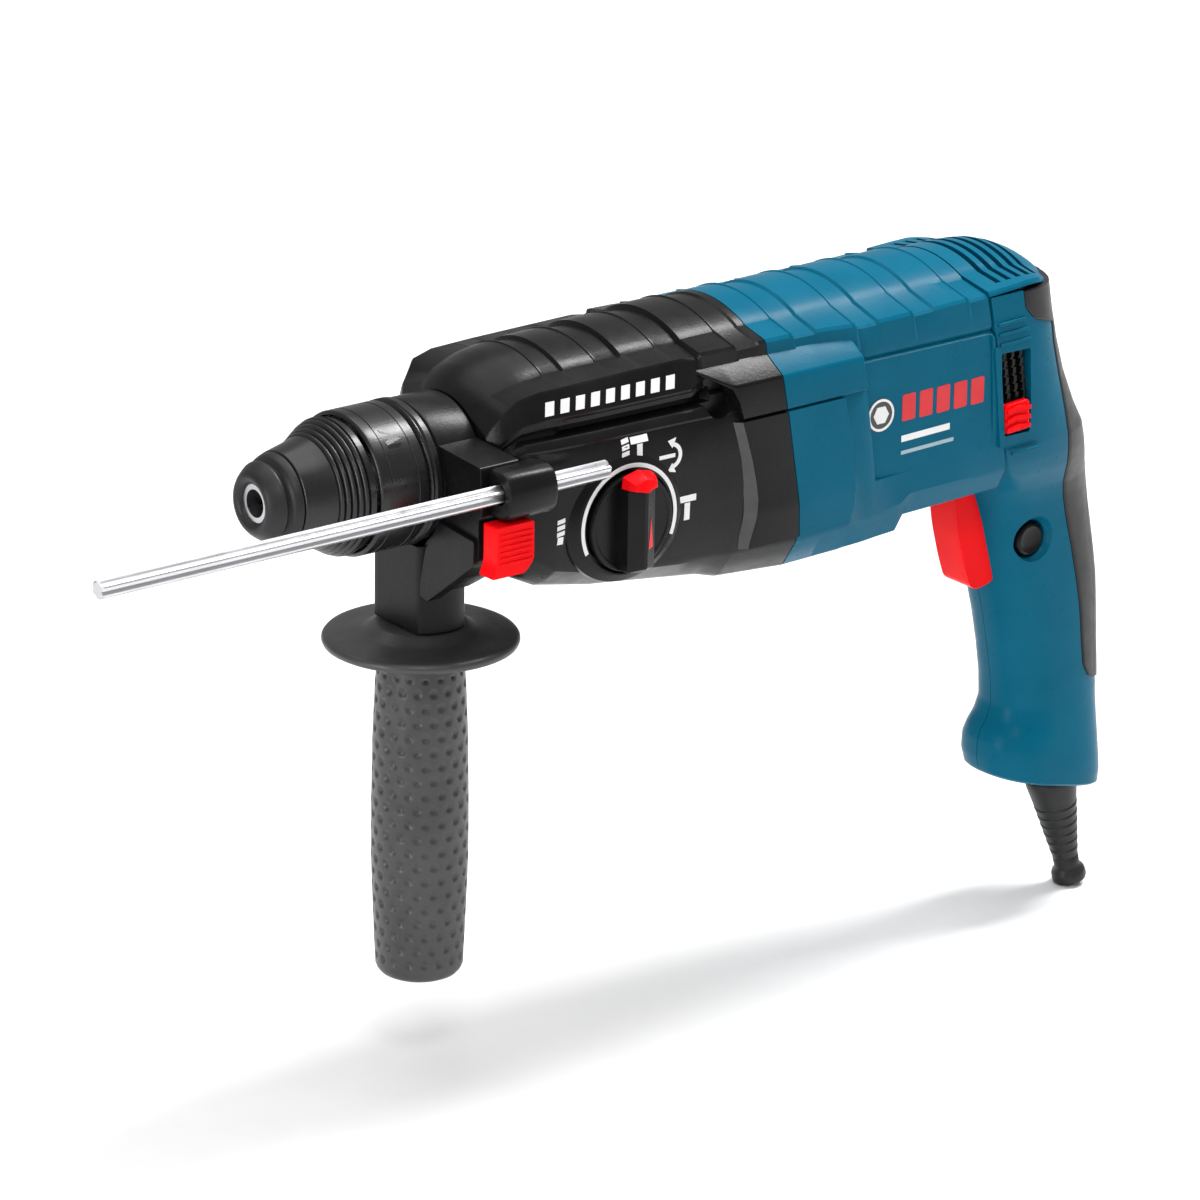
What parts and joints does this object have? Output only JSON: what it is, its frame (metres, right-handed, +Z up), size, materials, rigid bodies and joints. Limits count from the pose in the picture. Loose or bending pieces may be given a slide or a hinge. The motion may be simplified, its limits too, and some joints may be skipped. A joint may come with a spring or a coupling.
{
  "type": "rotary hammer",
  "caption": "Pistol-grip rotary hammer with quick-grip chuck, mode selector, side handle with depth rod, trigger grip and geared hammer works inside.",
  "frame": {"origin": "mouth of the tool bore, on the spindle axis", "axes": "+X along the spindle axis from the nose to the rear handle, +Z up, -Y out of the left flank that carries the mode selector"},
  "size_m": [0.4892, 0.0993, 0.2712],
  "materials": {
    "black_plastic": "fine matte grain",
    "chuck_plastic": "satin, turned look",
    "blue_plastic": "fine spark-eroded grain",
    "red_plastic": "satin",
    "black_rubber": "matte, dimpled",
    "bright_steel": "zinc plated",
    "machined_steel": "ground",
    "bearing_steel": "polished",
    "spring_steel": "drawn wire",
    "core_steel": "stacked sheets",
    "copper": "enamelled copper",
    "cast_alloy": "die cast",
    "carbon": "sintered"
  },
  "bodies": {
    "housing": {"gear_housing": "black_plastic", "motor_housing": "blue_plastic", "handle_left": "blue_plastic", "handle_right": "blue_plastic", "rear_grip": "black_rubber", "handle_screws": "bright_steel", "housing_screws": "bright_steel", "front_bearing": "bearing_steel", "front_seal": "black_rubber", "gearbox_flange": "cast_alloy", "front_armature_bearing": "bearing_steel", "shaft_bearings": "bearing_steel", "spindle_rear_bearing": "bearing_steel", "rear_armature_bearing": "bearing_steel", "stator": "core_steel", "field_coils": "copper", "air_baffle": "black_plastic", "vent_grilles": "black_plastic", "switch_module": "black_plastic", "cable_clamp": "black_plastic", "cable_boot": "black_rubber", "trigger_spring": "spring_steel"},
    "armature": {"armature_shaft": "machined_steel", "armature_core": "core_steel", "commutator": "copper", "fan": "black_plastic"},
    "intermediate": {"intermediate_shaft": "machined_steel", "intermediate_gear": "machined_steel", "wobble_drum": "machined_steel"},
    "shift_sleeve": {"shift_sleeve": "machined_steel"},
    "wobble": {"wobble_ring": "machined_steel", "trunnion_pin": "machined_steel"},
    "spindle": {"spindle": "machined_steel", "spindle_gear": "machined_steel", "clutch_spring": "spring_steel", "tool_holder": "machined_steel", "dust_cap": "black_rubber", "chuck_collar": "chuck_plastic", "locking_balls": "bright_steel", "retaining_rings": "bright_steel", "sleeve_spring": "spring_steel"},
    "lock_ring": {"lock_ring": "chuck_plastic"},
    "locking_sleeve": {"locking_sleeve": "chuck_plastic"},
    "piston": {"piston": "machined_steel"},
    "striker": {"striker": "machined_steel"},
    "impact_bolt": {"impact_bolt": "machined_steel"},
    "brush_gear": {"brush_plate": "black_plastic", "carbon_brushes": "carbon", "direction_lever": "red_plastic"},
    "trigger": {"trigger": "red_plastic"},
    "lock_button": {"lock_button": "black_plastic"},
    "selector_knob": {"selector_knob": "black_plastic"},
    "selector_button": {"selector_button": "red_plastic"},
    "shift_fork": {"shift_fork": "machined_steel"},
    "side_handle": {"clamp_band": "black_plastic", "handle_bracket": "black_plastic", "clamp_bolt": "bright_steel"},
    "side_grip": {"side_grip": "black_rubber"},
    "depth_rod": {"depth_rod": "bright_steel"},
    "depth_stop_button": {"depth_stop_button": "red_plastic"}
  },
  "joints": [
    {"name": "intermediate_turn", "type": "hinge", "parent": "housing", "child": "intermediate", "pos_m": [0.15, 0, -0.032], "axis": [1, 0, 0], "continuous": true},
    {"name": "armature_turn", "type": "hinge", "parent": "housing", "child": "armature", "pos_m": [0.26, 0, -0.006], "axis": [1, 0, 0], "continuous": true},
    {"name": "spindle_turn", "type": "hinge", "parent": "housing", "child": "spindle", "pos_m": [0, 0, 0], "axis": [1, 0, 0], "continuous": true},
    {"name": "sleeve_shift", "type": "slide", "parent": "intermediate", "child": "shift_sleeve", "axis": [1, 0, 0], "range_m": [-0.0049, 0.004]},
    {"name": "wobble_swing", "type": "hinge", "parent": "housing", "child": "wobble", "pos_m": [0.17, 0, -0.032], "axis": [0, 1, 0], "range_deg": [-14, 14]},
    {"name": "piston_slide", "type": "slide", "parent": "housing", "child": "piston", "axis": [1, 0, 0], "range_m": [-0.0079, 0.0079]},
    {"name": "striker_slide", "type": "slide", "parent": "housing", "child": "striker", "axis": [1, 0, 0], "range_m": [-0.01, 0.003]},
    {"name": "impact_bolt_slide", "type": "slide", "parent": "housing", "child": "impact_bolt", "axis": [1, 0, 0], "range_m": [-0.003, 0.004]},
    {"name": "locking_sleeve_slide", "type": "slide", "parent": "spindle", "child": "locking_sleeve", "axis": [1, 0, 0], "range_m": [0, 0.0035], "stiffness_N_per_m": 1500, "springref_m": -0.004, "deforming": ["sleeve_spring"]},
    {"name": "lock_ring_turn", "type": "hinge", "parent": "spindle", "child": "lock_ring", "pos_m": [0.045, 0, 0], "axis": [1, 0, 0], "range_deg": [0, 25]},
    {"name": "direction_lever_turn", "type": "hinge", "parent": "housing", "child": "brush_gear", "pos_m": [0.316, 0, -0.006], "axis": [1, 0, 0], "range_deg": [-28, 0]},
    {"name": "trigger_pull", "type": "hinge", "parent": "housing", "child": "trigger", "pos_m": [0.336, 0, -0.058], "axis": [0, -1, 0], "range_deg": [0, 8], "stiffness_Nm_per_rad": 1.5, "springref_deg": -6.88, "deforming": ["trigger_spring"]},
    {"name": "lock_button_press", "type": "slide", "parent": "housing", "child": "lock_button", "axis": [0, 1, 0], "range_m": [0, 0.003], "stiffness_N_per_m": 600, "springref_m": -0.002},
    {"name": "selector_turn", "type": "hinge", "parent": "housing", "child": "selector_knob", "pos_m": [0.132, -0.04, -0.022], "axis": [0, -1, 0], "range_deg": [-75, 93]},
    {"name": "selector_button_press", "type": "slide", "parent": "selector_knob", "child": "selector_button", "axis": [0, 1, 0], "range_m": [0, 0.002], "stiffness_N_per_m": 500, "springref_m": -0.002},
    {"name": "fork_shift", "type": "slide", "parent": "housing", "child": "shift_fork", "axis": [1, 0, 0], "range_m": [-0.0049, 0.004]},
    {"name": "side_handle_swivel", "type": "hinge", "parent": "housing", "child": "side_handle", "pos_m": [0.07, 0, 0], "axis": [1, 0, 0], "range_deg": [-180, 0]},
    {"name": "side_grip_turn", "type": "hinge", "parent": "side_handle", "child": "side_grip", "pos_m": [0.071, 0, -0.1], "axis": [0, 0, 1], "range_deg": [0, 360]},
    {"name": "depth_rod_slide", "type": "slide", "parent": "side_handle", "child": "depth_rod", "axis": [1, 0, 0], "range_m": [-0.02, 0.16]},
    {"name": "depth_stop_press", "type": "slide", "parent": "side_handle", "child": "depth_stop_button", "axis": [0, 1, 0], "range_m": [0, 0.0025], "stiffness_N_per_m": 800, "springref_m": -0.003}
  ],
  "couplings": [
    {"joint": "armature_turn", "follows": "intermediate_turn", "ratio": -5.5},
    {"joint": "spindle_turn", "follows": "intermediate_turn", "ratio": -0.23077},
    {"joint": "piston_slide", "follows": "wobble_swing", "m_per_rad": 0.032},
    {"joint": "fork_shift", "follows": "selector_turn", "m_per_rad": -0.003},
    {"joint": "sleeve_shift", "follows": "selector_turn", "m_per_rad": -0.003}
  ]
}
